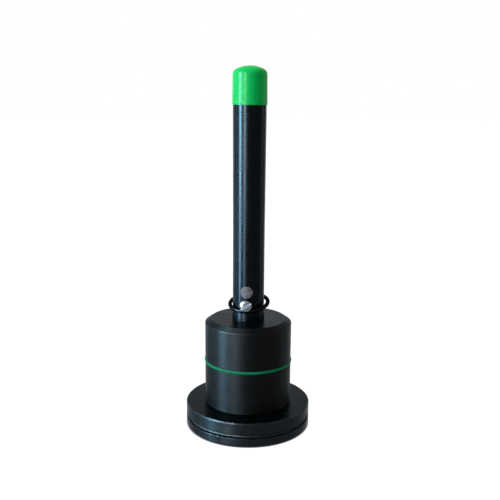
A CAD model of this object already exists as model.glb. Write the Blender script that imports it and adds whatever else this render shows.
# %% [markdown]
# A watch oiler is a slim pen that sets one tiny drop of oil on a pivot when its green cap is
# pressed. It stands nose down in a round black rest. This lesson dresses the finished CAD parts for
# a photograph: first the finishes are mixed, then the pieces that show get finer meshes, and last
# come the floor, the lamps and the camera. The parts arrive in metres and already in place.

# %% Load the parts
import math
import bpy
import bmesh
from mathutils import Matrix, Vector


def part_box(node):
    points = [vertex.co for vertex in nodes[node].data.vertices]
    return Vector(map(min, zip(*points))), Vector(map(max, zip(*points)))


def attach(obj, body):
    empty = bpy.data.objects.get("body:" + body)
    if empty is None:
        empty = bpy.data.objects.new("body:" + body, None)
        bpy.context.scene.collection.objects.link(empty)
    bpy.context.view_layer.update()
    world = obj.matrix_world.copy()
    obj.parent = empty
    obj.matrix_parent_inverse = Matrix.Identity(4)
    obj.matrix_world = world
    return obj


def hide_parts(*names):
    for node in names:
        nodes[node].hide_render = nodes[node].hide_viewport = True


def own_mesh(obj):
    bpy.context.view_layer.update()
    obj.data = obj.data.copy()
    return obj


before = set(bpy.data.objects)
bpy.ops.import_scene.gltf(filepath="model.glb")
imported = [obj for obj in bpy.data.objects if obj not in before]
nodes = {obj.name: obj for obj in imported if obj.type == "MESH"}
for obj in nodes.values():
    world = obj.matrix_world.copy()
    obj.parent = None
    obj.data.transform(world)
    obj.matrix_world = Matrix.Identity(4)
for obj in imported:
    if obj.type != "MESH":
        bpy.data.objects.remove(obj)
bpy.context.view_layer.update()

print("parts in the frame:", len(nodes))

# %% [markdown]
# The drawings of such parts are in millimetres, and Blender works in metres. MM keeps the numbers
# below readable.

# %% Sizes
MM = 0.001


def low(node, axis=2):
    """Lowest coordinate of a part, in millimetres."""
    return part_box(node)[0][axis] / MM


def high(node, axis=2):
    """Highest coordinate of a part, in millimetres."""
    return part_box(node)[1][axis] / MM


def middle(node):
    """Middle height of a part, in millimetres."""
    return (low(node) + high(node)) / 2


for part in ("base_disc", "stand_body", "barrel", "push_cap"):
    print(part, "radius", round(high(part, 0), 3),
          "from", round(low(part), 3), "to", round(high(part), 3))

# %% [markdown]
# Shapes and finishes are both node trees here, so a few helpers come first. One adds a node and
# fills its inputs, one does sums, and one starts a tree with named inputs, which are set from
# outside like the sliders of a modifier. The last two store a value on the mesh and read it back:
# a value that depends on a point's number has to be stored before points are welded.

# %% Helpers for node trees
def wire(tree, node, values):
    """Fills a node's inputs. A socket is linked, and so is the first output of a node."""
    for name, value in values.items():
        if isinstance(value, bpy.types.Node):
            value = value.outputs[0]
        if isinstance(value, bpy.types.NodeSocket):
            tree.links.new(value, node.inputs[name])
        else:
            node.inputs[name].default_value = value
    return node


def add(tree, kind, values=None, **settings):
    """Adds a node, sets its properties and fills its inputs."""
    node = tree.nodes.new(kind)
    for name, value in settings.items():
        setattr(node, name, value)
    return wire(tree, node, values or {})


def calc(tree, operation, *operands):
    """Adds a Math node. Each operand is a number, a socket or a node."""
    return add(tree, "ShaderNodeMath", dict(enumerate(operands)), operation=operation)


def vector(tree, x=0.0, y=0.0, z=0.0):
    """Puts three numbers together."""
    return add(tree, "ShaderNodeCombineXYZ", {"X": x, "Y": y, "Z": z})


def on_circle(tree, radius, angle, height=0.0):
    """A place at an angle round Z."""
    across = calc(tree, "MULTIPLY", radius, calc(tree, "COSINE", angle))
    back = calc(tree, "MULTIPLY", radius, calc(tree, "SINE", angle))
    return vector(tree, across, back, height)


def new_tree(name, sockets):
    """Starts a Geometry Nodes tree. Returns the tree, what it is given, and its output node."""
    tree = bpy.data.node_groups.new(name, "GeometryNodeTree")
    shape = {"name": "Geometry", "socket_type": "NodeSocketGeometry"}
    tree.interface.new_socket(in_out="INPUT", **shape)
    for label, kind, default in sockets:
        socket = tree.interface.new_socket(name=label, in_out="INPUT", socket_type=kind)
        if default is not None:
            socket.default_value = default
    tree.interface.new_socket(in_out="OUTPUT", **shape)
    return tree, add(tree, "NodeGroupInput").outputs, add(tree, "NodeGroupOutput")


def close_tree(tree, geometry, given, output, smooth=True):
    """Ends a tree: faces are shaded smooth, instances become real, and the finish is set."""
    if smooth:
        geometry = add(tree, "GeometryNodeSetShadeSmooth", {"Geometry": geometry})
    real = add(tree, "GeometryNodeRealizeInstances", {"Geometry": geometry})
    dress = add(tree, "GeometryNodeSetMaterial", {"Geometry": real, "Material": given["Finish"]})
    wire(tree, output, {"Geometry": dress})


def keep_value(tree, geometry, name, value, kind="FLOAT", domain="POINT"):
    """Stores a value on the mesh under a name."""
    return add(tree, "GeometryNodeStoreNamedAttribute",
               {"Geometry": geometry, "Name": name, "Value": value}, data_type=kind, domain=domain)


def read_value(tree, name):
    """Reads a stored number back."""
    return add(tree, "GeometryNodeInputNamedAttribute", {"Name": name}, data_type="FLOAT")


print("helpers for node trees are ready")

# %% [markdown]
# Nearly every piece of the oiler came off a lathe, so its shape follows one rule: an outline turned
# round an axis. Blender has a Screw modifier for that, but it gives no map of the surface. Here
# Geometry Nodes do it: the outline is a line of points, Fillet Curve rounds each corner by the
# point's own "edge" value, and a grid takes its places from the rounded outline. The tree also
# keeps two things for the finishes: a UV map that runs round and along the piece, and a value
# named "worn", which marks the rounded corners that are rubbed first.

# %% The lathe tree
WORN_EDGE = 0.08 * MM


def make_lathe():
    """Outline in the XZ plane, turned about Z."""
    tree, given, output = new_tree("lathe", (
        ("Segments", "NodeSocketInt", 128),
        ("Corner steps", "NodeSocketInt", 6),
        ("Weld distance", "NodeSocketFloat", 1e-6),
        ("Finish", "NodeSocketMaterial", None)))
    segments = given["Segments"]
    curve = add(tree, "GeometryNodeMeshToCurve", {"Mesh": given["Geometry"]})
    outline = add(tree, "GeometryNodeFilletCurve", {
        "Curve": curve, "Radius": read_value(tree, "edge"), "Count": given["Corner steps"],
        "Limit Radius": True}, mode="POLY")

    size = add(tree, "GeometryNodeAttributeDomainSize", {"Geometry": outline}, component="CURVE")
    rows = calc(tree, "ADD", segments, 1)
    shape = add(tree, "GeometryNodeMeshGrid", {
        "Vertices X": size.outputs["Point Count"], "Vertices Y": rows})
    index = add(tree, "GeometryNodeInputIndex")
    step = calc(tree, "FLOOR", calc(tree, "DIVIDE", index, rows))
    turn = calc(tree, "DIVIDE", calc(tree, "MODULO", index, rows), segments)

    def at_step(kind, value):
        """Reads a value from the outline's point that this grid point belongs to."""
        return add(tree, "GeometryNodeSampleIndex", {
            "Geometry": outline, "Value": value, "Index": step}, data_type=kind, domain="POINT")

    position = add(tree, "GeometryNodeInputPosition")
    place = add(tree, "ShaderNodeSeparateXYZ", {"Vector": at_step("FLOAT_VECTOR", position)})
    angle = calc(tree, "MULTIPLY", turn, 2 * math.pi)
    spot = on_circle(tree, place.outputs["X"], angle, place.outputs["Z"])
    length = add(tree, "GeometryNodeSplineParameter").outputs["Length"]
    along = calc(tree, "DIVIDE", at_step("FLOAT", length), MM)
    rounding = calc(tree, "DIVIDE", at_step("FLOAT", read_value(tree, "edge")), WORN_EDGE)
    worn = calc(tree, "MINIMUM", rounding, 1.0)

    for name, value in (("turn", turn), ("along", along), ("worn", worn)):
        shape = keep_value(tree, shape, name, value)
    shape = add(tree, "GeometryNodeSetPosition", {"Geometry": shape, "Position": spot})
    pair = vector(tree, read_value(tree, "turn"), read_value(tree, "along"))
    shape = keep_value(tree, shape, "UVMap", pair, "FLOAT2", "CORNER")
    weld = add(tree, "GeometryNodeMergeByDistance", {
        "Geometry": shape, "Distance": given["Weld distance"]})
    close_tree(tree, weld, given, output)
    return tree


LATHE = make_lathe()
print("lathe tree:", len(LATHE.nodes), "nodes")

# %% [markdown]
# A tree needs an object to work on. Its inputs are set by their identifiers, because a modifier
# doesn't know them by name, and an input that isn't set keeps the tree's own value. When it has
# run, the result is copied into a plain mesh and the modifier goes, so that the piece is finished
# geometry that can be cut, joined and exported.

# %% Run a tree on a piece
def new_piece(name, verts=(), edges=(), faces=()):
    """A new mesh object at the origin."""
    mesh = bpy.data.meshes.new(name)
    mesh.from_pydata([Vector(v) for v in verts], edges, faces)
    piece = bpy.data.objects.new(name, mesh)
    bpy.context.scene.collection.objects.link(piece)
    return piece


def settle(piece):
    """Replaces a piece's mesh by the result of its modifiers, and removes them."""
    bpy.context.view_layer.update()
    graph = bpy.context.evaluated_depsgraph_get()
    result = bpy.data.meshes.new_from_object(
        piece.evaluated_get(graph), preserve_all_data_layers=True, depsgraph=graph)
    piece.modifiers.clear()
    old = piece.data
    piece.data = result
    result.name = piece.name
    bpy.data.meshes.remove(old)


def face_outwards(piece):
    """Turns the faces outwards where the piece came out inside out."""
    work = bmesh.new()
    work.from_mesh(piece.data)
    if work.calc_volume(signed=True) < 0:
        bmesh.ops.reverse_faces(work, faces=work.faces)
        work.to_mesh(piece.data)
    work.free()


def run_tree(piece, tree, values):
    """Gives a piece a tree, sets its named inputs, and keeps the result as a plain mesh."""
    modifier = piece.modifiers.new(tree.name, "NODES")
    modifier.node_group = tree
    for item in tree.interface.items_tree:
        if item.item_type == "SOCKET" and item.in_out == "INPUT" and item.name in values:
            modifier[item.identifier] = values[item.name]
    settle(piece)
    face_outwards(piece)
    print(piece.name, "faces", len(piece.data.polygons))


print("ready to run trees")

# %% [markdown]
# The outline becomes a thin mesh of points and edges, and each point carries its corner radius.
# Where a rounded corner meets a long flat face, smooth shading would spread the corner's tilt over
# the whole face, so a point is put HOLD millimetres past each end of the rounding, if that side is
# long enough for it.

# %% Turn an outline into a piece
HOLD, LONG_SIDE = 0.06, 2.2
SHARP = math.radians(35)


def with_holding_points(points):
    """Adds points beside every rounded corner. A point is (radius, height, edge radius)."""
    done = []
    for number, (radius, height, edge) in enumerate(points):
        here = Vector((radius, height))
        sides = []
        if edge > 0 and 0 < number < len(points) - 1:
            ways = [Vector(points[other][:2]) - here for other in (number - 1, number + 1)]
            reach = edge / math.tan(ways[0].angle(ways[1]) / 2) + HOLD
            sides = [here + way.normalized() * reach if way.length > LONG_SIDE * reach else None
                     for way in ways]
        if sides and sides[0]:
            done.append((sides[0].x, sides[0].y, 0))
        done.append((radius, height, edge))
        if sides and sides[1]:
            done.append((sides[1].x, sides[1].y, 0))
    return done


def turned(name, points, finish, segments=128):
    """Turns an outline in millimetres about the pen's axis."""
    points = with_holding_points(points)
    verts = [(radius * MM, 0, height * MM) for radius, height, edge in points]
    piece = new_piece(name, verts, [(i, i + 1) for i in range(len(points) - 1)])
    radii = piece.data.attributes.new("edge", "FLOAT", "POINT")
    radii.data.foreach_set("value", [edge * MM for radius, height, edge in points])
    run_tree(piece, LATHE, {"Segments": segments, "Finish": finish})
    piece.data.set_sharp_from_angle(angle=SHARP)
    return piece


print("ready to turn outlines")

# %% [markdown]
# Holes and slots are cut with solids by the Boolean modifier, whose Exact solver keeps the edges
# clean. The pieces in the pen's side are turned about Z as well and then laid down. When a piece is
# done, three calls hand it over: what it moves with, which CAD part it stands for, and which of the
# record's materials it is made of.

# %% Cut, lay down and hand over
def lay_along_front(piece, height):
    """Moves a piece turned about Z so that its axis lies along -Y at the given height."""
    lift = Matrix.Translation((0, 0, height * MM))
    piece.data.transform(lift @ Matrix.Rotation(math.radians(90), 4, "X"))
    return piece


def cut(piece, *cutters, operation="DIFFERENCE"):
    """Cuts other solids out of a piece, or adds them, and removes them."""
    for cutter in cutters:
        modifier = piece.modifiers.new("cut", "BOOLEAN")
        modifier.operation = operation
        modifier.solver = "EXACT"
        modifier.object = cutter
        settle(piece)
        bpy.data.objects.remove(cutter)
    piece.data.set_sharp_from_angle(angle=SHARP)


def block(name, corner_a, corner_b, finish):
    """A plain box between two corners in millimetres, used to cut with."""
    (x0, y0, z0), (x1, y1, z1) = corner_a, corner_b
    verts = [(x * MM, y * MM, z * MM) for x in (x0, x1) for y in (y0, y1) for z in (z0, z1)]
    faces = [(0, 1, 3, 2), (4, 6, 7, 5), (0, 4, 5, 1), (2, 3, 7, 6), (0, 2, 6, 4), (1, 5, 7, 3)]
    box = new_piece(name, verts, (), faces)
    box.data.materials.append(finish)
    return box


def rod(name, radius, start, end, finish, segments=64):
    """A plain round bar about Z, to cut with or to join on."""
    outline = [(0, start, 0), (radius, start, 0), (radius, end, 0), (0, end, 0)]
    return turned(name, outline, finish, segments)


def stands_for(piece, node, body):
    """Puts a finished piece in the place of a CAD part."""
    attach(piece, body)
    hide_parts(node)


print("ready to cut and to hand over")

# %% [markdown]
# Finishes come before the pieces, because the trees set them. All of them are node materials. They
# read Object coordinates, or the UV map of the lathe: U runs once round the piece and V counts
# millimetres along the outline, so a fine noise on V alone draws the rings that the tool leaves.

# %% Helpers for finishes
def start_finish(name, colour, metallic, roughness):
    """A new material with a Principled shader. Returns the material, its tree and the shader."""
    finish = bpy.data.materials.new(name)
    finish.use_nodes = True
    finish.diffuse_color = (*colour, 1)
    tree = finish.node_tree
    shader = next(n for n in tree.nodes if n.type == "BSDF_PRINCIPLED")
    wire(tree, shader, {"Base Color": (*colour, 1), "Metallic": metallic, "Roughness": roughness})
    print("finish:", name)
    return finish, tree, shader


def times(factor, colour):
    """A colour made lighter or darker."""
    return tuple(factor * c for c in colour)


def noise_on_object(tree, scale, detail, stretch=(1, 1, 1)):
    """Noise in Object coordinates. The scale counts features per metre."""
    where = add(tree, "ShaderNodeTexCoord").outputs["Object"]
    shift = add(tree, "ShaderNodeMapping", {"Vector": where, "Scale": stretch})
    return add(tree, "ShaderNodeTexNoise", {"Vector": shift, "Scale": scale, "Detail": detail})


def ring_marks(tree, per_mm):
    """Fine rings left by the lathe tool, from V of the lathe's UV map."""
    uv = add(tree, "ShaderNodeUVMap", uv_map="UVMap")
    along = add(tree, "ShaderNodeSeparateXYZ", {"Vector": uv}).outputs["Y"]
    return add(tree, "ShaderNodeTexNoise", {"W": along, "Scale": per_mm, "Detail": 2.0},
               noise_dimensions="1D")


def spread(tree, value, low_end, high_end, start=0.35, stop=0.65):
    """Maps a value from start to stop onto a range. Most noise lies between 0.35 and 0.65."""
    return add(tree, "ShaderNodeMapRange", {
        "Value": value, "From Min": start, "From Max": stop,
        "To Min": low_end, "To Max": high_end})


def blend_colours(tree, factor, first, second):
    """Mixes two colours by a value. On the Mix node they are the inputs 6 and 7."""
    colours = {0: factor, 6: (*first, 1), 7: (*second, 1)}
    return add(tree, "ShaderNodeMix", colours, data_type="RGBA").outputs[2]


def add_bump(tree, shader, height, strength, depth):
    """Gives the shader a bump of a depth in millimetres, stacked on one that it already has."""
    bump = add(tree, "ShaderNodeBump", {
        "Height": height, "Strength": strength, "Distance": depth * MM})
    if shader.inputs["Normal"].is_linked:
        wire(tree, bump, {"Normal": shader.inputs["Normal"].links[0].from_socket})
    wire(tree, shader, {"Normal": bump})


def grain_along_axis(tree, shader, amount):
    """Stretches highlights across the tool's rings: along walls, and outwards on faces."""
    tangent = add(tree, "ShaderNodeTangent", direction_type="UV_MAP", uv_map="UVMap")
    wire(tree, shader, {"Anisotropic": amount, "Anisotropic Rotation": 0.25, "Tangent": tangent})


print("helpers for finishes are ready")

# %% [markdown]
# Black anodised aluminium is a metal under a dyed oxide skin. It reflects very little when seen
# head on and more at a glancing angle, and it has no diffuse colour of its own. A dark metallic
# shader gives that, and the specular tint holds back the glancing reflection. The corners get a
# little lighter, where handling rubs the dye thin. The rings of the tool stretch the highlights
# along the walls. The faces that look up are smoother and stretch nothing, and the nose piece and
# the barrel have the finest rings.

# %% Black anodised finishes
GLANCE_TINT = (0.60, 0.62, 0.63)
RUBBED = 2.2
RINGS_PER_MM = 9
DYE_PATCHES, RUBBED_SPOTS, SKIN_GRAIN = 260, 700, 2400


def black_anodised(name, face, roughness, grain, ring_strength):
    """Dyed and turned aluminium."""
    finish, tree, shader = start_finish(name, face, 1.0, roughness)
    grain_along_axis(tree, shader, grain)
    patches = noise_on_object(tree, DYE_PATCHES, 1)
    worn = add(tree, "ShaderNodeAttribute", attribute_name="worn").outputs["Fac"]
    spots = spread(tree, noise_on_object(tree, RUBBED_SPOTS, 3), 0.1, 0.9)
    share = calc(tree, "MULTIPLY", worn, spots)
    wire(tree, shader, {
        "Specular Tint": (*GLANCE_TINT, 1),
        "Base Color": blend_colours(tree, share, face, times(RUBBED, face)),
        "Roughness": spread(tree, patches, roughness - 0.03, roughness + 0.05)})
    add_bump(tree, shader, ring_marks(tree, RINGS_PER_MM), ring_strength, 0.01)
    add_bump(tree, shader, noise_on_object(tree, SKIN_GRAIN, 2), 0.2 * ring_strength, 0.02)
    return finish


BLACK_BODY = black_anodised("black_anodised_turned", (0.0047, 0.0049, 0.0052), 0.47, 0.7, 0.06)
BLACK_BASE = black_anodised("black_anodised_base", (0.0082, 0.0096, 0.0108), 0.38, 0.7, 0.06)
BLACK_FACE = black_anodised("black_anodised_faced", (0.0056, 0.0072, 0.0086), 0.28, 0.0, 0.04)
BLACK_NOSE = black_anodised("black_anodised_nose", (0.0046, 0.0056, 0.0070), 0.30, 0.75, 0.02)
BLACK_BARREL = black_anodised("black_anodised_smooth", (0.0035, 0.0041, 0.0050), 0.29, 0.5, 0.02)

# %% [markdown]
# The cap is moulded in a clear green and polished by fingers: an even colour with a soft shine. The
# ring round the drum is green rubber with a drier skin. Both take a faint unevenness of colour and
# roughness, because a perfectly even surface looks like paint.

# %% Green finishes
DEEPER = 0.88
GREEN_CLOUDS, FINGER_MARKS = 190, 420


def soft_green(name, colour, roughness, shine, grain_scale, grain):
    """Green plastic or rubber."""
    finish, tree, shader = start_finish(name, colour, 0.0, roughness)
    clouds, marks = noise_on_object(tree, GREEN_CLOUDS, 4), noise_on_object(tree, FINGER_MARKS, 3)
    wire(tree, shader, {
        "Specular IOR Level": shine,
        "Base Color": blend_colours(tree, clouds, times(DEEPER, colour), colour),
        "Roughness": spread(tree, marks, roughness - 0.04, roughness + 0.07)})
    add_bump(tree, shader, noise_on_object(tree, grain_scale, 3), grain, 0.02)
    return finish


GREEN_PLASTIC = soft_green("green_plastic", (0.003, 0.40, 0.057), 0.29, 0.03, 1500, 0.03)
GREEN_RUBBER = soft_green("green_rubber", (0.003, 0.14, 0.045), 0.5, 0.02, 2500, 0.2)

# %% [markdown]
# Black rubber looks like dark plastic with a slightly dusty skin. The ring that hangs on the pen is
# oily from use, so it hardly scatters light and only mirrors a little. The ring round the base is
# drier, and the pad under it is matt. One function makes them all and the bush's plastic, with a
# fine bump for the skin and a lighter bloom in patches.

# %% Rubber and liner finishes
BLOOM = 1.9
BLOOM_PATCHES, SKIN_PATCHES, SKIN_PORES = 330, 800, 3200


def rubber(name, colour, roughness, shine, grain, oily=0.0):
    """Rubber or dark plastic with a fine skin. An oily skin only mirrors, and very little."""
    finish, tree, shader = start_finish(name, colour, oily, roughness)
    tint = 1 - 0.7 * oily
    dusty = spread(tree, noise_on_object(tree, BLOOM_PATCHES, 5), 0.0, 1.0, 0.45, 0.75)
    patches = noise_on_object(tree, SKIN_PATCHES, 3)
    wire(tree, shader, {
        "Specular Tint": (tint, tint, tint, 1),
        "Specular IOR Level": shine,
        "Base Color": blend_colours(tree, dusty, colour, times(BLOOM, colour)),
        "Roughness": spread(tree, patches, roughness - 0.06, roughness + 0.06)})
    add_bump(tree, shader, noise_on_object(tree, SKIN_PORES, 3), grain, 0.03)
    return finish


BLACK_RUBBER = rubber("black_rubber", (0.0034, 0.0036, 0.004), 0.27, 0.08, 0.05, 0.9)
DRY_RUBBER = rubber("dry_black_rubber", (0.0075, 0.0082, 0.009), 0.42, 0.08, 0.1, 0.9)
PAD_RUBBER = rubber("pad_rubber", (0.03, 0.03, 0.032), 0.8, 0.4, 0.5)
LINER_PLASTIC = rubber("liner_plastic", (0.045, 0.046, 0.05), 0.5, 0.4, 0.15)

# %% [markdown]
# The bare metals differ in colour and in how they were worked. Nickel plate on the dosing screw is
# bright, the locating pin was filed flush and has gone mottled grey under a dull skin, steel and
# brass inside the pen are turned. The noise that breaks up the colour and the roughness is
# stretched round the axis or left even, to suit the tool that made the surface.

# %% Metal finishes
EVEN, TURNED = (1, 1, 1), (0.15, 0.15, 6)


def bare_metal(name, colour, roughness, unevenness, stretch, grain, scale=600, bareness=1.0):
    """Nickel, steel or brass. A bareness below 1 leaves a dull skin on the metal."""
    finish, tree, shader = start_finish(name, colour, bareness, roughness)
    spots = spread(tree, noise_on_object(tree, scale, 5), 0.0, 1.0)
    marks = noise_on_object(tree, 1.7 * scale, 3, stretch)
    wire(tree, shader, {
        "Specular IOR Level": 0.05,
        "Base Color": blend_colours(tree, spots, times(1 - unevenness, colour), colour),
        "Roughness": spread(tree, marks, roughness - 0.05, roughness + 0.08)})
    add_bump(tree, shader, noise_on_object(tree, 2.5 * scale, 2, stretch), grain, 0.02)
    return finish


NICKEL = bare_metal("worn_nickel", (0.15, 0.16, 0.16), 0.16, 0.4, EVEN, 0.05)
SLOT_METAL = bare_metal("shaded_nickel", (0.03, 0.032, 0.034), 0.4, 0.3, EVEN, 0.1)
PIN_STEEL = bare_metal("mottled_pin_steel", (0.135, 0.111, 0.098), 0.5, 0.5, EVEN, 0.25,
                       scale=1100, bareness=0.04)
STEEL = bare_metal("turned_steel", (0.5, 0.5, 0.5), 0.28, 0.15, TURNED, 0.15)
SPRING_STEEL = bare_metal("drawn_spring_wire", (0.42, 0.42, 0.43), 0.32, 0.2, EVEN, 0.1)
BRASS = bare_metal("turned_brass", (0.6, 0.45, 0.2), 0.3, 0.2, TURNED, 0.15)

# %% [markdown]
# The oil sits in a clear tube. Transmission makes a Principled shader see-through; a little
# roughness in patches stands for the film of oil on its wall.

# %% Clear tube finish
def clear_tube():
    """Clear plastic with an oily film."""
    finish, tree, shader = start_finish("clear_tube", (0.85, 0.92, 0.92), 0.0, 0.08)
    film, clouds = noise_on_object(tree, 900, 3), noise_on_object(tree, 400, 3)
    wire(tree, shader, {
        "Transmission Weight": 0.9,
        "IOR": 1.49,
        "Roughness": spread(tree, film, 0.04, 0.16),
        "Base Color": blend_colours(tree, clouds, (0.82, 0.9, 0.9), (0.9, 0.95, 0.95))})
    return finish


CLEAR = clear_tube()

# %% [markdown]
# The rest is two turned pieces screwed together. The wide disc has a recess for the pad, a groove
# for a black ring and a low step that centres the drum. Its outline starts at the axis, runs
# outwards along the bottom, up the outside and inwards over the top, so that the solid always lies
# on its left. The three screw holes are cut afterwards with bars. The faces that look up get a
# finish of their own, because they were turned with another feed than the walls.

# %% Base disc
PLAY = 0.02
BASE_R, BASE_LOW, BASE_TOP = high("base_disc", 0), low("base_disc"), low("stand_body")
STEP_R, STEP_TOP = 8.98, high("base_disc")
FOOT_EDGE, TOP_EDGE = 0.4, 0.3
PAD_R, PAD_TOP = high("foot_pad", 0), high("foot_pad")
GROOVE_Z, GROOVE_HALF, GROOVE_DEPTH = middle("base_ring"), 0.65, 1.1
SCREW_CIRCLE, SCREW_LOW, SCREW_TOP = 11.425, low("base_screws"), high("base_screws")
BASE_SCREW_R, BASE_HEAD_R, BASE_HEAD_H = 1.25, 2.25, 1.9
LOOKS_UP = 0.9


def groove(radius, height, half, depth, edge):
    """The four corners of a groove in a wall, from its lower to its upper lip."""
    floor = radius - depth
    return [(radius, height - half, edge), (floor, height - half, 0),
            (floor, height + half, 0), (radius, height + half, edge)]


def cut_screw_holes(piece, radius, start, end, finish):
    """Cuts the three holes for the base screws."""
    holes = []
    for number in range(3):
        hole = rod(f"screw_hole_{number}", radius, start, end, finish)
        turn = Matrix.Rotation(math.radians(90 + 120 * number), 4, "Z")
        hole.data.transform(turn @ Matrix.Translation((SCREW_CIRCLE * MM, 0, 0)))
        holes.append(hole)
    cut(piece, *holes)


def finish_faces(piece, finish):
    """Gives the faces that look up a finish of their own."""
    piece.data.materials.append(finish)
    number = len(piece.data.materials) - 1
    for polygon in piece.data.polygons:
        if polygon.normal.z > LOOKS_UP:
            polygon.material_index = number


base_disc = turned("base_disc_turned", [
    (0, PAD_TOP, 0), (PAD_R + PLAY, PAD_TOP, 0), (PAD_R + PLAY, BASE_LOW, 0.1),
    (BASE_R - FOOT_EDGE, BASE_LOW, 0.15), (BASE_R, BASE_LOW + FOOT_EDGE, 0.15),
    *groove(BASE_R, GROOVE_Z, GROOVE_HALF, GROOVE_DEPTH, 0.1),
    (BASE_R, BASE_TOP - TOP_EDGE, 0.15), (BASE_R - TOP_EDGE, BASE_TOP, 0.15),
    (STEP_R, BASE_TOP, 0), (STEP_R, STEP_TOP, 0.1), (0, STEP_TOP, 0)], BLACK_BASE, 256)
cut_screw_holes(base_disc, BASE_HEAD_R + PLAY, -1, SCREW_LOW + BASE_HEAD_H, BLACK_BASE)
cut_screw_holes(base_disc, BASE_SCREW_R + 2 * PLAY, 1, BASE_TOP + 1, BLACK_BASE)
finish_faces(base_disc, BLACK_FACE)
stands_for(base_disc, "base_disc", "stand")

# %% [markdown]
# The drum has a bevelled top, a groove for the green ring, a bore with a lip that carries the
# pen's bush, and a wide chamber below, so that the needle touches nothing. As it is hollow, its
# outline starts and ends inside the chamber wall and runs round the whole section.

# %% Stand body
BODY_R, STAND_TOP = high("stand_body", 0), high("stand_body")
BODY_EDGE, BEVEL_W, BEVEL_DROP = 0.2, 1.9, 1.25
RING_Z, RING_HALF, RING_DEPTH = middle("colour_ring"), 0.52, 0.77
CHAMBER_R, CHAMBER_MID, CHAMBER_TOP = 9, 16, 26
LIP_R, LIP_TOP, BUSH_R = 4.6, 27, 5

stand_body = turned("stand_body_turned", [
    (CHAMBER_R, CHAMBER_MID, 0), (CHAMBER_R, BASE_TOP, 0),
    (BODY_R - BODY_EDGE, BASE_TOP, 0.1), (BODY_R, BASE_TOP + BODY_EDGE, 0.1),
    *groove(BODY_R, RING_Z, RING_HALF, RING_DEPTH, 0.06),
    (BODY_R, STAND_TOP - BEVEL_DROP, 0.22), (BODY_R - BEVEL_W, STAND_TOP, 0.3),
    (BUSH_R + PLAY, STAND_TOP, 0.12), (BUSH_R + PLAY, LIP_TOP, 0), (LIP_R, LIP_TOP, 0),
    (LIP_R, CHAMBER_TOP, 0), (CHAMBER_R, CHAMBER_TOP, 0), (CHAMBER_R, CHAMBER_MID, 0)],
    BLACK_BODY, 256)
cut_screw_holes(stand_body, BASE_SCREW_R + PLAY, BASE_TOP - 1, SCREW_TOP + 1, BLACK_BODY)
finish_faces(stand_body, BLACK_FACE)
stands_for(stand_body, "stand_body", "stand")

# %% [markdown]
# The pad is a disc of rubber with softened edges, and the bush is a plain sleeve in the drum. Both
# come off the same lathe tree. The bush shows when the pen is lifted out, so its mouth is rounded.

# %% Foot pad and guide bush
foot_pad = turned("foot_pad_moulded", [
    (0, 0, 0), (PAD_R, 0, 0.2), (PAD_R, PAD_TOP, 0.05), (0, PAD_TOP, 0)], PAD_RUBBER, 160)
stands_for(foot_pad, "foot_pad", "stand")

BUSH_LOW, BUSH_MID, BUSH_BORE_R = low("guide_bush"), 31, 4.15
guide_bush = turned("guide_bush_sleeve", [
    (BUSH_BORE_R, BUSH_MID, 0), (BUSH_BORE_R, BUSH_LOW, 0), (BUSH_R, BUSH_LOW, 0),
    (BUSH_R, STAND_TOP, 0.05), (BUSH_BORE_R, STAND_TOP, 0.25), (BUSH_BORE_R, BUSH_MID, 0)],
    LINER_PLASTIC, 128)
stands_for(guide_bush, "guide_bush", "stand")

# %% [markdown]
# Three rings of round cord sit on the oiler: a black one round the base, a green one round the drum
# and a loose black one round the pen. A ring could be a torus primitive, but a tree that sweeps a
# round section along a path serves the spring's wire as well, and its sizes are plain inputs.

# %% The cord ring tree
def sweep_round(tree, path, radius, sides):
    """Sweeps a round section along a path. The ends of an open path are closed."""
    section = add(tree, "GeometryNodeCurvePrimitiveCircle", {"Radius": radius, "Resolution": sides})
    return add(tree, "GeometryNodeCurveToMesh", {
        "Curve": path, "Profile Curve": section, "Fill Caps": True})


def make_cord_ring():
    """A round section swept along a circle."""
    tree, given, output = new_tree("cord_ring", (
        ("Ring radius", "NodeSocketFloat", 0.01),
        ("Cord radius", "NodeSocketFloat", 0.0005),
        ("Steps", "NodeSocketInt", 256),
        ("Sides", "NodeSocketInt", 28),
        ("Finish", "NodeSocketMaterial", None)))
    path = add(tree, "GeometryNodeCurvePrimitiveCircle", {
        "Radius": given["Ring radius"], "Resolution": given["Steps"]})
    ring = sweep_round(tree, path, given["Cord radius"], given["Sides"])
    close_tree(tree, ring, given, output)
    return tree


CORD_RING = make_cord_ring()
print("cord ring tree:", len(CORD_RING.nodes), "nodes")

# %% [markdown]
# Two of the rings lie in their grooves and stand a little proud of the wall. The loose one is
# caught behind the head of the dosing screw, so it hangs down towards the front and a little to one
# side: a matrix tilts and shifts the finished ring.

# %% Three rings of cord
def cord_ring(name, ring_radius, cord, finish, place):
    """A ring of cord, sizes in millimetres, put in its place by a matrix."""
    piece = new_piece(name)
    run_tree(piece, CORD_RING, {
        "Ring radius": ring_radius * MM, "Cord radius": cord / 2 * MM, "Finish": finish})
    piece.data.transform(place)
    return piece


for node, cord, height, finish, slot in (
        ("base_ring", 1.1, GROOVE_Z, DRY_RUBBER, "black_rubber"),
        ("colour_ring", 1.0, RING_Z, GREEN_RUBBER, "green_rubber")):
    place = Matrix.Translation((0, 0, height * MM))
    ring = cord_ring(node + "_cord", high(node, 0) - cord / 2, cord, finish, place)
    stands_for(ring, node, "stand")

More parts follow.
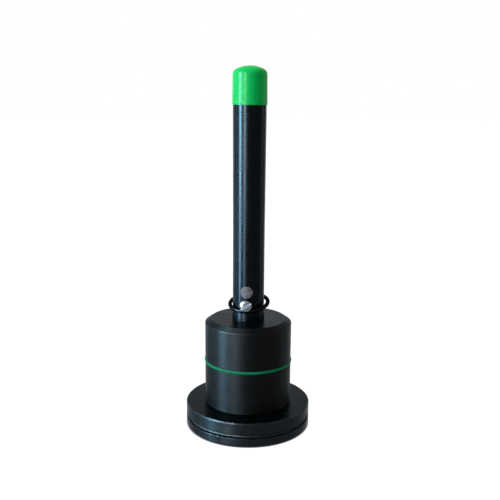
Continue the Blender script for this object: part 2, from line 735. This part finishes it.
SCREW_Z, SCREW_R = middle("dosing_screw"), 1.2
LOOP_R, LOOP_CORD, LOOP_FRONT, LOOP_SHIFT, LOOP_ROOM = 6.05, 1.3, 5.7, 0.15, 0.1
LOOP_TILT, LOOP_ROLL = math.radians(12), math.radians(3)
loop_z = SCREW_Z - SCREW_R - LOOP_CORD / 2 - LOOP_ROOM + LOOP_R * math.sin(LOOP_TILT)
loop_y = LOOP_R * math.cos(LOOP_TILT) - LOOP_FRONT
loop_place = (Matrix.Translation((LOOP_SHIFT * MM, loop_y * MM, loop_z * MM))
              @ Matrix.Rotation(LOOP_TILT, 4, "X") @ Matrix.Rotation(-LOOP_ROLL, 4, "Y"))
rubber_ring = cord_ring("rubber_ring_cord", LOOP_R, LOOP_CORD, BLACK_RUBBER, loop_place)
stands_for(rubber_ring, "rubber_ring", "oiler")

# %% [markdown]
# The nose piece is a collar that sits on the stand, with a shank and a cone below. From beneath it
# holds the needle's hub in a narrow bore, and above that come the oil space and a wider seat for
# the pen's inner block.

# %% Nose piece
COLLAR_R, COLLAR_TOP, CONE_LOW = high("nose_piece", 0), high("nose_piece"), low("nose_piece")
CONE_TIP_R, CONE_LEN, SHANK_R = 1.6, 6, 4.1
HUB_BORE_R, HUB_BORE_MID, OIL_R, OIL_LOW = 1.02, 22, 2.6, 24.55
SEAT_R, SEAT_LOW = 3.02, 35.18

nose_piece = turned("nose_piece_turned", [
    (HUB_BORE_R, HUB_BORE_MID, 0), (HUB_BORE_R, CONE_LOW, 0), (CONE_TIP_R, CONE_LOW, 0.1),
    (SHANK_R, CONE_LOW + CONE_LEN, 0.2), (SHANK_R, STAND_TOP, 0), (COLLAR_R, STAND_TOP, 0.08),
    (COLLAR_R, COLLAR_TOP, 0.12), (SEAT_R, COLLAR_TOP, 0), (SEAT_R, SEAT_LOW, 0),
    (OIL_R, SEAT_LOW, 0), (OIL_R, OIL_LOW, 0), (HUB_BORE_R, OIL_LOW, 0),
    (HUB_BORE_R, HUB_BORE_MID, 0)], BLACK_NOSE, 160)
stands_for(nose_piece, "nose_piece", "oiler")

# %% [markdown]
# The barrel is a long tube that widens a little towards the cap and has a thinner neck under it.
# Its cross holes and the engraved index line are cut with solids, so they have real depth; the pin
# and the screw then sit in real holes.

# %% Barrel
BARREL_R, BARREL_TOP_R, BARREL_TOP = 5, high("barrel", 0), high("barrel")
TUBE_R, BARREL_MID, NECK_R = 3.9, 70, 4.45
WIDEN_Z, NECK_LOW = COLLAR_TOP + 25, BARREL_TOP - 4.9
SCREW_HOLE_R = SCREW_R + 0.05
PIN_Z, PIN_R = middle("locating_pin"), high("locating_pin", 0)
INDEX_W, INDEX_DEPTH = 0.25, 0.12

barrel = turned("barrel_turned", [
    (TUBE_R, BARREL_MID, 0), (TUBE_R, COLLAR_TOP, 0), (BARREL_R, COLLAR_TOP, 0.08),
    (BARREL_R, WIDEN_Z, 0), (BARREL_TOP_R, NECK_LOW, 0.12), (NECK_R, NECK_LOW, 0),
    (NECK_R, BARREL_TOP, 0.1), (TUBE_R, BARREL_TOP, 0.05), (TUBE_R, BARREL_MID, 0)],
    BLACK_BARREL, 240)
cross_holes = (("screw_hole", SCREW_HOLE_R, SCREW_Z), ("pin_hole", PIN_R + PLAY, PIN_Z))
for name, radius, height in cross_holes:
    cut(barrel, lay_along_front(rod(name, radius, 0, BARREL_R + 1, BLACK_BARREL), height))
cut(barrel, block("index_line", (-INDEX_W / 2, -BARREL_R - 1, SCREW_Z),
                  (INDEX_W / 2, -BARREL_R + INDEX_DEPTH, PIN_Z), BLACK_BARREL))
stands_for(barrel, "barrel", "oiler")

# %% [markdown]
# The locating pin was pressed in and dressed flush with the barrel, so its face follows the
# barrel's curve. It is turned flat first, with two more rings of points on the face, and then each
# point of the face moves back by as much as the barrel falls away there.

# %% Locating pin
PIN_BACK, PIN_FACE_RINGS = -high("locating_pin", 1), (1.3, 0.6, 0)
FLUSH_FROM = 4.2

locating_pin = turned("locating_pin_flush", [
    (0, PIN_BACK, 0), (PIN_R, PIN_BACK, 0), (PIN_R, BARREL_R, 0.12),
    *((radius, BARREL_R, 0) for radius in PIN_FACE_RINGS)], PIN_STEEL, 96)
lay_along_front(locating_pin, PIN_Z)
for vertex in locating_pin.data.vertices:
    if vertex.co.y < -FLUSH_FROM * MM:
        vertex.co.y += BARREL_R * MM - math.sqrt((BARREL_R * MM) ** 2 - vertex.co.x ** 2)
stands_for(locating_pin, "locating_pin", "oiler")
print("pin face from", round(min(v.co.y for v in locating_pin.data.vertices) / MM, 3))

# %% [markdown]
# The dosing screw turns a small eccentric pin that sets how much oil each press gives. Head and
# shank are one outline, whose face is slightly crowned, as on a real screw, so that it catches the
# light unevenly. The eccentric pin is joined on, and the slot is cut with a box turned to the angle
# at which the screw was left.

# %% Dosing screw
HEAD_R, HEAD_BACK, HEAD_FRONT = high("dosing_screw", 0), 6.4, -low("dosing_screw", 1)
SCREW_END, HEAD_WALL, HEAD_CHAMFER = 2.3, 0.42, (0.22, 0.15)
CROWN = ((1.35, 0.07), (0.9, 0.03), (0.45, 0.008), (0, 0))
CAM_R, CAM_START, CAM_END, CAM_OFFSET = 0.45, 1.35, 2.6, 0.6
SLOT_W, SLOT_DEPTH, SLOT_ANGLE = 0.55, 0.6, math.radians(32)

dosing_screw = turned("dosing_screw_plated", [
    (0, SCREW_END, 0), (SCREW_R, SCREW_END, 0.05), (SCREW_R, HEAD_BACK, 0),
    (HEAD_R, HEAD_BACK, 0.08), (HEAD_R, HEAD_FRONT - HEAD_WALL, 0.1),
    (HEAD_R - HEAD_CHAMFER[0], HEAD_FRONT - HEAD_CHAMFER[1], 0.08),
    *((radius, HEAD_FRONT - drop, 0) for radius, drop in CROWN)], NICKEL, 128)
lay_along_front(dosing_screw, SCREW_Z)
cam = rod("eccentric_pin", CAM_R, CAM_START, CAM_END, NICKEL, 48)
cut(dosing_screw, lay_along_front(cam, SCREW_Z + CAM_OFFSET), operation="UNION")
slot = block("slot", (-5, -HEAD_FRONT - 1, -SLOT_W / 2), (5, -HEAD_FRONT + SLOT_DEPTH, SLOT_W / 2),
             SLOT_METAL)
slot.data.transform(Matrix.Translation((0, 0, SCREW_Z * MM)) @ Matrix.Rotation(-SLOT_ANGLE, 4, "Y"))
cut(dosing_screw, slot)
stands_for(dosing_screw, "dosing_screw", "dosing_screw")

# %% [markdown]
# The green cap is moulded: a thin lip that slides over the barrel, a straight wall, a rounded
# shoulder and a low dome. The shoulder and the dome are arcs that meet without a kink, so their
# points are worked out with sines and cosines and need no rounding by the tree.

# %% Push cap
CAP_R, CAP_LOW, CAP_TOP = high("push_cap", 0), low("push_cap"), high("push_cap")
DOME_R, SHOULDER_R, DRAFT = 9.1, 1.8, 0.12
LIP_BORE_R, NECK_ROOM_R, STEM_SEAT_R = 5.2, 4.65, 1.52
NECK_ROOM_LOW, NECK_ROOM_TOP, STEM_SEAT_TOP = 105.95, 110.85, 112.87
dome_z = CAP_TOP - DOME_R
shoulder_x = CAP_R - DRAFT - SHOULDER_R
shoulder_z = dome_z + math.sqrt((DOME_R - SHOULDER_R) ** 2 - shoulder_x ** 2)
meet = math.atan2(shoulder_z - dome_z, shoulder_x)


def arc(x, z, radius, start, end, steps):
    """Points along an arc, with no rounding of their own."""
    angles = [start + (end - start) * i / steps for i in range(steps + 1)]
    return [(x + radius * math.cos(a), z + radius * math.sin(a), 0) for a in angles]


push_cap = turned("push_cap_moulded", [
    (0, STEM_SEAT_TOP, 0), (STEM_SEAT_R, STEM_SEAT_TOP, 0), (STEM_SEAT_R, NECK_ROOM_TOP, 0),
    (NECK_ROOM_R, NECK_ROOM_TOP, 0), (NECK_ROOM_R, NECK_ROOM_LOW, 0),
    (LIP_BORE_R, NECK_ROOM_LOW, 0), (LIP_BORE_R, CAP_LOW, 0.04), (CAP_R, CAP_LOW, 0.08),
    *arc(shoulder_x, shoulder_z, SHOULDER_R, 0, meet, 8),
    *arc(0, dome_z, DOME_R, meet, math.pi / 2, 24)[1:-1], (0, CAP_TOP, 0)], GREEN_PLASTIC, 192)
stands_for(push_cap, "push_cap", "plunger")

# %% [markdown]
# The needle is a fine tube. It shows only when the pen is lifted out of the stand, but then it is
# the most important piece, so it gets a rounded outlet.

# %% Needle
NEEDLE_LOW, NEEDLE_MID, NEEDLE_TOP = low("needle_tube"), 18, high("needle_tube")
NEEDLE_R, NEEDLE_BORE_R = 0.35, 0.2

needle_tube = turned("needle_tube_drawn", [
    (NEEDLE_BORE_R, NEEDLE_MID, 0), (NEEDLE_BORE_R, NEEDLE_LOW, 0.03),
    (NEEDLE_R, NEEDLE_LOW, 0.06), (NEEDLE_R, NEEDLE_TOP, 0), (NEEDLE_BORE_R, NEEDLE_TOP, 0),
    (NEEDLE_BORE_R, NEEDLE_MID, 0)], STEEL, 48)
stands_for(needle_tube, "needle_tube", "oiler")

# %% [markdown]
# Three socket screws hold the disc to the drum from beneath. One screw is turned and gets its
# hexagon socket, and a small tree then sets copies of it on a circle. Instances are cheap while
# working, and Realize Instances at the end makes them real for the export.

# %% Base screws
def make_screw_circle():
    """Copies of the incoming screw on a circle."""
    tree, given, output = new_tree("screw_circle", (
        ("Count", "NodeSocketInt", 3),
        ("Circle radius", "NodeSocketFloat", 0.01),
        ("First angle", "NodeSocketFloat", math.pi / 2),
        ("Finish", "NodeSocketMaterial", None)))
    count = given["Count"]
    points = add(tree, "GeometryNodePoints", {"Count": count})
    index = add(tree, "GeometryNodeInputIndex")
    part = calc(tree, "DIVIDE", calc(tree, "MULTIPLY", index, 2 * math.pi), count)
    angle = calc(tree, "ADD", part, given["First angle"])
    spot = on_circle(tree, given["Circle radius"], angle)
    move = add(tree, "GeometryNodeSetPosition", {"Geometry": points, "Position": spot})
    copies = add(tree, "GeometryNodeInstanceOnPoints", {
        "Points": move, "Instance": given["Geometry"], "Rotation": vector(tree, z=angle)})
    close_tree(tree, copies, given, output, smooth=False)
    return tree


BASE_HEAD_TOP = SCREW_LOW + BASE_HEAD_H
SOCKET_R, SOCKET_DEPTH = 1.17, 1.14
base_screws = turned("base_screws_socket", [
    (0, SCREW_LOW, 0), (BASE_HEAD_R, SCREW_LOW, 0.2), (BASE_HEAD_R, BASE_HEAD_TOP, 0.05),
    (BASE_SCREW_R, BASE_HEAD_TOP, 0), (BASE_SCREW_R, SCREW_TOP, 0.2), (0, SCREW_TOP, 0)], STEEL, 64)
cut(base_screws, rod("socket", SOCKET_R, SCREW_LOW - 1, SCREW_LOW + SOCKET_DEPTH, STEEL, 6))
run_tree(base_screws, make_screw_circle(), {"Circle radius": SCREW_CIRCLE * MM, "Finish": STEEL})
stands_for(base_screws, "base_screws", "stand")

# %% [markdown]
# The return spring stands round the push rod and closes up when the cap is pressed.

# %% Return spring
CURL_STEPS, WIRE_SIDES = 40, 12


def make_coil():
    """Round wire wound about Z."""
    tree, given, output = new_tree("coil", (
        ("Coil radius", "NodeSocketFloat", 0.003),
        ("Wire radius", "NodeSocketFloat", 0.0003),
        ("Rise", "NodeSocketFloat", 0.015),
        ("Curls", "NodeSocketFloat", 10.0),
        ("Finish", "NodeSocketMaterial", None)))
    radius = given["Coil radius"]
    path = add(tree, "GeometryNodeCurveSpiral", {
        "Start Radius": radius, "End Radius": radius, "Height": given["Rise"],
        "Rotations": given["Curls"], "Resolution": CURL_STEPS})
    coil = sweep_round(tree, path, given["Wire radius"], WIRE_SIDES)
    close_tree(tree, coil, given, output)
    return tree


SPRING_SEAT, SPRING_TOP = high("rod_guide"), low("spring_collar")
WIRE, SEAT_PLAY, BUTTON_TRAVEL = 0.6, 0.02, 2.5
return_spring = new_piece("return_spring_wound")
run_tree(return_spring, make_coil(), {
    "Coil radius": (high("return_spring", 0) - WIRE / 2) * MM, "Wire radius": WIRE / 2 * MM,
    "Rise": (SPRING_TOP - SPRING_SEAT - WIRE - 2 * SEAT_PLAY) * MM, "Finish": SPRING_STEEL})
return_spring.data.transform(Matrix.Translation((0, 0, (SPRING_SEAT + WIRE / 2 + SEAT_PLAY) * MM)))
stands_for(return_spring, "return_spring", "oiler")
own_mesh(return_spring)
print("spring from", round(SPRING_SEAT, 2), "to", round(SPRING_TOP, 2))

# %% [markdown]
# The other pieces inside the pen keep their CAD meshes, because their shapes are already right.
# Each still gets a finish, so that the pen can be taken apart on the screen: brass for what is
# turned and pressed in, steel for rods and clips, rubber for the seal.

# %% Finishes of the inner pieces
inner = (
    (BRASS, ("needle_hub", "reservoir_plug", "inner_block", "rod_guide", "end_bush",
             "spring_collar", "dose_carrier", "stylus_chuck")),
    (STEEL, ("button_stem", "stem_clip", "push_rod", "stylus")),
    (BLACK_RUBBER, ("stylus_seal",)),
    (CLEAR, ("reservoir_tube",)))
for finish, names in inner:
    for name in names:
        slots = nodes[name].data.materials
        for number in range(len(slots)):
            slots[number] = finish
        if not slots:
            slots.append(finish)
    print(finish.name, "on", len(names), "inner pieces")

# %% [markdown]
# The floor is plain and white. A camera should see it as pure white, yet it must keep the soft
# shadow under the base, so its shader mixes a white glow with a lit white surface, and Ambient
# Occlusion darkens the glow where the base touches it. Light Path tells the two apart: camera,
# mirror and see-through rays get the glow, all other rays the plain surface. The world does the
# same with its background.

# %% Floor and world
FLOOR_SIZE, FLOOR_WHITE, GLOW_SHARE = 3, 0.8, 0.92
CONTACT_REACH = 0.8 * MM


def light_path_mask(tree):
    """1 for rays from the camera, from mirrors and through glass, else 0."""
    path = add(tree, "ShaderNodeLightPath")
    both = calc(tree, "ADD", path.outputs["Is Camera Ray"], path.outputs["Is Glossy Ray"])
    return calc(tree, "MINIMUM", calc(tree, "ADD", both, path.outputs["Is Transmission Ray"]), 1.0)


def mix_to_end(tree, share, plain, white, end):
    """Mixes two shaders by the share of the second, and ends the tree."""
    mix = add(tree, "ShaderNodeMixShader", {0: share, 1: plain, 2: white})
    add(tree, end, {"Surface": mix})


def make_floor():
    """A large white floor with a faint shadow."""
    far = FLOOR_SIZE
    corners = [(-far, -far, 0), (far, -far, 0), (far, far, 0), (-far, far, 0)]
    floor = new_piece("floor", corners, (), [(0, 1, 2, 3)])
    paint = bpy.data.materials.new("white_floor")
    paint.use_nodes = True
    tree = paint.node_tree
    tree.nodes.clear()
    lit = add(tree, "ShaderNodeBsdfDiffuse", {"Color": (FLOOR_WHITE, FLOOR_WHITE, FLOOR_WHITE, 1)})
    contact = add(tree, "ShaderNodeAmbientOcclusion", {"Distance": CONTACT_REACH}, samples=16)
    strength = spread(tree, contact.outputs["AO"], 0.02, 1.12, 0.4, 0.85)
    glow = add(tree, "ShaderNodeEmission", {"Strength": strength})
    share = calc(tree, "MULTIPLY", light_path_mask(tree), GLOW_SHARE)
    mix_to_end(tree, share, lit, glow, "ShaderNodeOutputMaterial")
    floor.data.materials.append(paint)


def make_world(fill, colour):
    """White behind the object, and a soft fill of the given strength and colour on it."""
    world = bpy.data.worlds.new("studio")
    bpy.context.scene.world = world
    world.use_nodes = True
    tree = world.node_tree
    tree.nodes.clear()
    soft = add(tree, "ShaderNodeBackground", {"Color": (*colour, 1), "Strength": fill})
    white = add(tree, "ShaderNodeBackground", {"Color": (1, 1, 1, 1)})
    mix_to_end(tree, light_path_mask(tree), soft, white, "ShaderNodeOutputWorld")


make_floor()
make_world(0.03, (1.0, 0.98, 0.72))
print("floor and world are ready")

# %% [markdown]
# A dark shiny pen is lit mostly by what it mirrors. Two large soft lamps, on the left and above,
# light the green cap and are hidden from reflections. Narrow upright lamps close to the pen draw
# the cool stripes on the barrel and the drum; only reflections show them, so that they don't burn
# the cap. The stripes are brighter on the barrel than on the rest, so the strong ones are split in
# height. Angles count round the pen from the camera, to the left.

# %% Lamps
TARGET = Vector((0, 0, 0.06))
VIEW_TURN = 7
STRIP_WIDTH, STRIP_DISTANCE = 0.03, 0.14
FLOOR_END, SPLIT, TOP_END = 0.003, 0.06, 0.19
STRIPS = (
    ("main_high", 66, SPLIT, TOP_END, 220, (0.60, 1.0, 1.14)),
    ("main_low", 66, FLOOR_END, SPLIT, 110, (0.58, 1.0, 1.34)),
    ("second_high", 33, SPLIT, TOP_END, 90, (0.85, 1.0, 1.05)),
    ("second_low", 33, FLOOR_END, SPLIT, 45, (0.71, 1.0, 1.06)),
    ("left_high", 100, SPLIT, TOP_END, 10, (0.65, 1.0, 1.25)),
    ("left_low", 100, FLOOR_END, SPLIT, 13, (0.6, 1.0, 1.3)),
    ("rim_left", 130, FLOOR_END, TOP_END, 3.5, (0.65, 1.0, 1.25)),
    ("right_side", -100, FLOOR_END, TOP_END, 4, (0.9, 1.0, 0.9)),
    ("rim_right", -140, FLOOR_END, TOP_END, 1, (0.9, 1.0, 0.9)))


def lamp(name, left, up, distance, width, height, radiance, colour, only_mirrored=False):
    """A rectangular lamp aimed at the pen. Its radiance is what a mirror would show."""
    data = bpy.data.lights.new(name, "AREA")
    data.shape = "RECTANGLE"
    data.size, data.size_y = width, height
    data.energy = radiance * math.pi * width * height
    data.color = colour
    light = bpy.data.objects.new(name, data)
    bpy.context.scene.collection.objects.link(light)
    side, rise = math.radians(left - VIEW_TURN), math.radians(up)
    flat = math.cos(rise)
    way = Vector((-math.sin(side) * flat, -math.cos(side) * flat, math.sin(rise)))
    light.location = TARGET + way * distance
    light.rotation_euler = way.to_track_quat("Z", "Y").to_euler()
    light.visible_camera = False
    light.visible_diffuse = not only_mirrored
    light.visible_glossy = only_mirrored
    return light


lamp("key_left", 66, 30, 0.9, 0.5, 0.5, 15.5, (0.80, 1.0, 1.6))
lamp("top_soft", 0, 85, 0.8, 0.6, 0.6, 3.5, (0.95, 1.0, 0.9))
for name, left, low_z, high_z, radiance, colour in STRIPS:
    strip = lamp(name, left, 0, STRIP_DISTANCE, STRIP_WIDTH, high_z - low_z, radiance, colour, True)
    strip.location.z = (low_z + high_z) / 2

# %% [markdown]
# The camera looks from where the photograph was taken. Its place, tilt and lens were fitted to the
# outlines of the round pieces there, which show both the distance and the height.

# %% Camera
LENS, SENSOR = 53.43, 36
LOOKS_DOWN, ROLL = 11.91, 0.443
CAMERA_PLACE = (0.000385, -0.229257, 0.105919)

lens = bpy.data.cameras.new("camera")
lens.sensor_width = SENSOR
lens.lens = LENS
lens.clip_start = 0.01
camera = bpy.data.objects.new("camera", lens)
bpy.context.scene.collection.objects.link(camera)
turn_round = Matrix.Rotation(math.radians(VIEW_TURN), 4, "Z")
tilt = Matrix.Rotation(math.radians(90 - LOOKS_DOWN), 4, "X")
roll = Matrix.Rotation(math.radians(ROLL), 4, "Z")
camera.matrix_world = turn_round @ Matrix.Translation(CAMERA_PLACE) @ (tilt @ roll)
bpy.context.scene.camera = camera
bpy.context.scene.view_settings.view_transform = "Standard"
print("camera at", tuple(round(v, 4) for v in camera.location))
